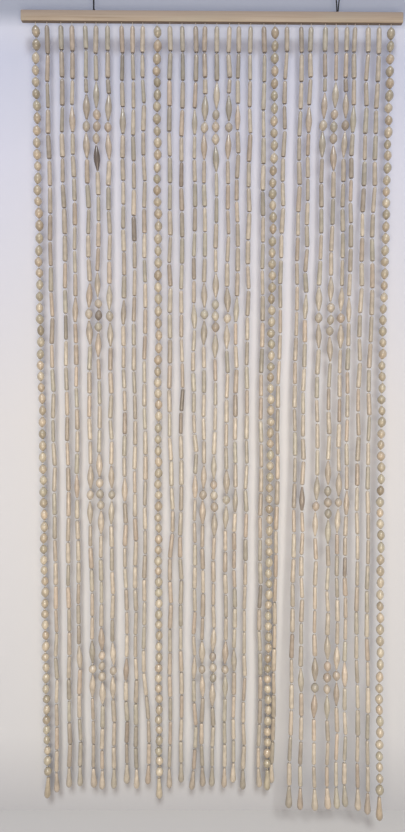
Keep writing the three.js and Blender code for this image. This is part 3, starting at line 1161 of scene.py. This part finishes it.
@dataclass
class HangingLoop:
    """A loop of black cord that stands on a small knot on top of the batten, in mm.

    Attributes:
        side: left or right, as in the node's name.
        place: where along the batten it stands.
        turn: how far the loop is turned about Z, in degrees.
        radius: of the cord.
        leg: how far each leg is from the middle at a height.
        top: height of the round top's centre.
        bend: radius of the round top.
        top_angles: where the points of the round top lie, in degrees from the first leg's side.
        knot_radius: how far the knot reaches from the middle.
        knot_height: how high the knot is.
        knot_strand: radius of the cord where it is pulled tight in the knot.
        fit_gap: how far the knot stands above the batten.
        twist_pitch: length of cord in which its strands go once round.
        strands: how many strands the cord is laid from.
        strand_depth: how far they stand out from its middle line, as a share of the radius.
        section_points: how many points the cord's section has.
        knot_points: how many points the knot's route has.
    """

    side: str
    place: float
    turn: float
    radius: float = 1.5
    leg: tuple[tuple[float, float], ...] = (
        (1.65, 5.3), (1.75, 9), (2.0, 14), (2.5, 20), (3.3, 28), (4.3, 37), (5.4, 46), (6.1, 53),
    )
    top: float = 56.0
    bend: float = 6.3
    top_angles: tuple[float, ...] = (15, 40, 65, 90, 115, 140, 165)
    knot_radius: float = 3.3
    knot_height: float = 4.7
    knot_strand: float = 1.35
    fit_gap: float = 0.3
    twist_pitch: float = 7.0
    strands: int = 3
    strand_depth: float = 0.12
    section_points: int = 12
    knot_points: int = 24

    def in_place(self, point: Vector) -> Vector:
        """Turns a point of the loop and moves it to its place on the batten, in metres."""
        turned = Matrix.Rotation(math.radians(self.turn), 3, "Z") @ point
        return (turned + Vector((self.place, 0, 0))) * MM

    def route(self) -> list[Vector]:
        """Lists the points that the cord follows, from one leg's foot to the other's."""
        up = [Vector((-spread, 0, height)) for spread, height in self.leg]
        turns = [math.radians(180 - angle) for angle in self.top_angles]
        over = [
            Vector((self.bend * math.cos(turn), 0, self.top + self.bend * math.sin(turn)))
            for turn in turns
        ]
        down = [Vector((-point.x, 0, point.z)) for point in reversed(up)]
        return [self.in_place(point) for point in (*up, *over, *down)]

    def twisted_tube(
        self, name: str, route: Sequence[Vector], radius: float, closed: bool
    ) -> bpy.types.Object:
        """Lays a twisted cord along a route.

        Args:
            name: the piece's name.
            route: the points that it follows, in metres.
            radius: the cord's radius, in mm.
            closed: whether the route runs back into its start.

        Returns:
            The cord as a mesh.
        """
        section = bpy.data.curves.new(f"{name}_section", "CURVE")
        ring = section.splines.new("POLY")
        ring.points.add(self.section_points - 1)
        for i, point in enumerate(ring.points):
            angle = 2 * math.pi * i / self.section_points
            reach = radius * (1 + self.strand_depth * math.cos(self.strands * angle)) * MM
            point.co = (reach * math.cos(angle), reach * math.sin(angle), 0, 1)
        ring.use_cyclic_u = True
        section_object = bpy.data.objects.new(f"{name}_section", section)
        curve = bpy.data.curves.new(name, "CURVE")
        curve.dimensions = "3D"
        curve.resolution_u = 6
        curve.bevel_mode = "OBJECT"
        curve.bevel_object = section_object
        curve.use_fill_caps = not closed
        line = curve.splines.new("BEZIER")
        line.bezier_points.add(len(route) - 1)
        line.use_cyclic_u = closed
        run = 0.0
        for i, (point, place) in enumerate(zip(line.bezier_points, route)):
            if i:
                run += (place - route[i - 1]).length
            point.co = place
            point.handle_left_type = point.handle_right_type = "AUTO"
            point.tilt = 2 * math.pi * run / (self.twist_pitch * MM)
        pick(add_object(name, curve))
        bpy.ops.object.convert(target="MESH")
        cord = bpy.context.view_layer.objects.active
        cord.name = name
        bpy.data.objects.remove(section_object)
        bpy.ops.object.mode_set(mode="EDIT")
        close_skin(smooth_below=60)
        return cord

    def knot_route(self) -> list[Vector]:
        """Lists the points of the overhand knot that the loop stands on."""
        strand = self.knot_strand
        across = (self.knot_radius - strand) / 3
        deep = self.knot_height / 2 - strand
        middle = self.fit_gap + self.knot_height / 2
        route = []
        for i in range(self.knot_points):
            t = 2 * math.pi * i / self.knot_points
            aside = across * (math.sin(t) + 2 * math.sin(2 * t))
            back = across * (math.cos(t) - 2 * math.cos(2 * t))
            route.append(self.in_place(Vector((aside, back, middle - deep * math.sin(3 * t)))))
        return route

    def build(self, yarn: bpy.types.Material) -> list[bpy.types.Object]:
        """Builds the cord and its knot in place of their solids.

        Args:
            yarn: the cord's finish.

        Returns:
            The two pieces.
        """
        knot = self.twisted_tube(
            f"overhand_knot_{self.side}", self.knot_route(), self.knot_strand, closed=True
        )
        route = self.route()
        cord = self.twisted_tube(f"cord_loop_{self.side}", route, self.radius, closed=False)
        for piece, node in ((cord, f"hanging_loop_{self.side}"), (knot, f"loop_knot_{self.side}")):
            dress(piece, yarn)
            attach(piece, BODY)
            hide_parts(node)
        return [cord, knot]


LOOPS = (HangingLoop("left", -279.0, 90.0), HangingLoop("right", 295.5, 0.0))


# Studio


@dataclass(frozen=True)
class SoftBox:
    """A large square lamp that points at the curtain.

    Attributes:
        name: its name.
        place: where it stands, in metres.
        aim_height: the height on the curtain that it points at.
        power: its power in watts.
        colour: its sRGB colour.
        size: the length of its sides.
    """

    name: str
    place: tuple[float, float, float]
    aim_height: float
    power: float
    colour: int
    size: float = 1.1

    def set_up(self) -> None:
        """Adds the lamp to the scene."""
        lamp_data = bpy.data.lights.new(self.name, "AREA")
        lamp_data.size = self.size
        lamp_data.energy = self.power
        lamp_data.color = linear(self.colour)[:3]
        towards = Vector((0, 0, self.aim_height)) - Vector(self.place)
        add_object(self.name, lamp_data).matrix_world = (
            Matrix.Translation(self.place) @ towards.to_track_quat("-Z", "Y").to_matrix().to_4x4()
        )


@dataclass
class Studio:
    """Camera, light, and the pale wall and floor that stand round the curtain, in metres.

    Attributes:
        eye: where the camera stands.
        pitch: how far it looks down, in degrees.
        turn: how far it is turned to the right, in degrees.
        roll: how far it is tilted, in degrees.
        lens: focal length in mm on a 36 mm side.
        wall_behind: how far behind the batten's middle the wall stands.
        floor_height: height of the floor.
        room_width: how wide the wall and the floor are.
        wall_top: height at which the wall's last tone is reached.
        wall_tones: tones of the wall from the floor up, with painted light and shade: its foot in
            painted shade, low, middle and high, painted shade over the heads of the strings, a
            painted lit strip under the batten, the batten's painted shadow behind it, and the top.
        floor_front: the place along Y where the floor's first tone ends.
        floor_tones: tones of the floor from there to the batten, in painted shade darker towards
            the wall.
        key_power: power of the main light, which falls in from above the camera.
        key_softness: how wide it looks, in degrees.
        key_colour: its sRGB colour.
        key_turn: how it is turned about X, Y and Z, in degrees.
        fills: the soft lamps that fill the shadows.
        sky_power: how strongly the surroundings shine.
        sky_colour: their sRGB colour.
    """

    eye: tuple[float, float, float] = (-0.0271, -1.5488, -0.8318)
    pitch: float = 4.5597
    turn: float = 0.28518
    roll: float = 0.21759
    lens: float = 27.13
    wall_behind: float = 0.045
    floor_height: float = -2.02
    room_width: float = 14.0
    wall_top: float = 0.6
    # Painted light and shade: shade at the foot, the batten's shadow over the heads of the strings,
    # a lit strip under the batten, and shade behind it
    wall_tones: tuple[tuple[float, int], ...] = (
        (0.0, 0xBEBEC1), (0.08, 0xD4D4D6), (0.4, 0xE2E2E5), (0.65, 0xE6E9F6),
        (0.74, 0xE1E6F6), (0.765, 0xE8ECF9), (0.78, 0xC1C8D8), (1.0, 0xDEDFE4),
    )
    floor_front: float = -1.0
    # Painted shade: the floor gets darker towards the wall
    floor_tones: tuple[tuple[float, int], ...] = ((0.0, 0xD2D1D1), (1.0, 0xC6C5C5))
    key_power: float = 1.4
    key_softness: float = 14.0
    key_colour: int = 0xF9FBF9
    key_turn: tuple[float, float, float] = (45.0, 0.0, 2.0)
    fills: tuple[SoftBox, ...] = (
        SoftBox("cool_fill", (0.0, -1.2, 0.6), -0.3, 0.8, 0xB8C5FF),
        SoftBox("warm_fill", (0.0, -2.0, -1.2), -1.2, 26.0, 0xFFEFD6),
    )
    sky_power: float = 0.27
    sky_colour: int = 0xCEDAFF

    def place_camera(self) -> None:
        """Puts the camera where the picture was taken from."""
        camera_data = bpy.data.cameras.new("camera")
        camera_data.lens = self.lens
        camera_data.sensor_width = 36.0
        camera_data.clip_start = 0.01
        camera = add_object("camera", camera_data)
        aim = (
            Matrix.Rotation(math.radians(-self.turn), 4, "Z")
            @ Matrix.Rotation(math.radians(90 - self.pitch), 4, "X")
            @ Matrix.Rotation(math.radians(self.roll), 4, "Z")
        )
        camera.matrix_world = Matrix.Translation(self.eye) @ aim
        bpy.context.scene.camera = camera

    def paint(
        self, name: str, tones: Sequence[tuple[float, int]], axis: str, ends: tuple[float, float]
    ) -> bpy.types.Material:
        """Makes a matt paint that only shows on a surface's front.

        Args:
            name: the material's name.
            tones: places from 0 to 1 between the ends and the sRGB colour there.
            axis: the axis along which the tone changes.
            ends: where on that axis the tones start and end, in metres.

        Returns:
            The material.
        """
        material, tree = new_material(name)
        coordinates = add_node(tree, "ShaderNodeTexCoord")
        axes = add_node(tree, "ShaderNodeSeparateXYZ", {"Vector": coordinates.outputs["Object"]})
        share = add_node(
            tree, "ShaderNodeMapRange",
            {"Value": axes.outputs[axis], "From Min": ends[0], "From Max": ends[1]},
        )
        ramp = add_node(tree, "ShaderNodeValToRGB", {"Fac": share.outputs["Result"]})
        stops = ramp.color_ramp.elements
        while len(stops) < len(tones):
            stops.new(1.0)
        for stop, (place, colour) in zip(stops, tones):
            stop.position = place
            stop.color = linear(colour)
        side = add_node(tree, "ShaderNodeNewGeometry")
        coat = add_node(
            tree, "ShaderNodeBsdfDiffuse", {"Color": ramp.outputs["Color"], "Roughness": 1.0}
        )
        clear = add_node(tree, "ShaderNodeBsdfTransparent")
        sided = add_node(
            tree, "ShaderNodeMixShader",
            {"Fac": side.outputs["Backfacing"], 1: coat.outputs["BSDF"], 2: clear.outputs["BSDF"]},
        )
        add_node(tree, "ShaderNodeOutputMaterial", {"Surface": sided.outputs["Shader"]})
        return material

    def flat_sheet(
        self, name: str, place: tuple[float, float, float], tip_up: float
    ) -> bpy.types.Object:
        """Adds a square as wide as the room.

        Args:
            name: the sheet's name.
            place: its middle.
            tip_up: how far it is turned up about X from lying flat, in degrees.

        Returns:
            The sheet.
        """
        deselect_all()
        bpy.ops.mesh.primitive_plane_add(
            size=self.room_width, location=place, rotation=(math.radians(tip_up), 0, 0)
        )
        sheet = bpy.context.view_layer.objects.active
        sheet.name = name
        bpy.ops.object.transform_apply(location=True, rotation=True, scale=True)
        return sheet

    def build_room(self) -> None:
        """Stands the wall behind the curtain and lays the floor under it."""
        half = self.room_width / 2
        wall = self.flat_sheet("wall", (0, self.wall_behind, self.floor_height + half), 90)
        up = (self.floor_height, self.wall_top)
        dress(wall, self.paint("wall_paint_with_painted_light_and_shade", self.wall_tones, "Z", up))
        floor = self.flat_sheet("floor", (0, self.wall_behind - half, self.floor_height), 0)
        back = (self.floor_front, 0.0)
        dress(floor, self.paint("floor_paint_with_painted_shade", self.floor_tones, "Y", back))

    def light(self) -> None:
        """Lights the curtain softly from above the camera and fills from all round."""
        key_data = bpy.data.lights.new("key", "SUN")
        key_data.energy = self.key_power
        key_data.angle = math.radians(self.key_softness)
        key_data.color = linear(self.key_colour)[:3]
        key = add_object("key", key_data)
        key.rotation_euler = [math.radians(turn) for turn in self.key_turn]
        for fill in self.fills:
            fill.set_up()
        world = bpy.data.worlds.new("studio")
        bpy.context.scene.world = world
        world.use_nodes = True
        tree = world.node_tree
        tree.nodes.clear()
        sky = add_node(
            tree, "ShaderNodeBackground",
            {"Color": linear(self.sky_colour), "Strength": self.sky_power},
        )
        add_node(tree, "ShaderNodeOutputWorld", {"Surface": sky.outputs["Background"]})
        bpy.context.scene.view_settings.view_transform = "Standard"


def main() -> None:
    """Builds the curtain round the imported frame, and the studio round the curtain."""
    logging.basicConfig(level=logging.INFO, format="%(name)s: %(message)s")
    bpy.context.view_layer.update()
    studio = Studio()
    studio.place_camera()
    cord = BLACK_CORD.material()
    for loop in LOOPS:
        for piece in loop.build(cord):
            log.info("%s: %d faces", piece.name, len(piece.data.polygons))
    board = Batten().build(BATTEN_BOARD.material())
    log.info("%s: %d faces", board.name, len(board.data.polygons))
    filler, border = FILLER_WOOD.material(), BORDER_WOOD.material()
    yarn = COTTON_THREAD.material()
    box = BeadBox()
    box.turn_patterns()
    for group in GROUPS:
        wood = border if "border" in group.node else filler
        for piece in group.build(box, wood, yarn):
            log.info("%s: %d faces", piece.name, len(piece.data.polygons))
    box.clear()
    studio.build_room()
    studio.light()


if __name__ == "__main__":
    main()
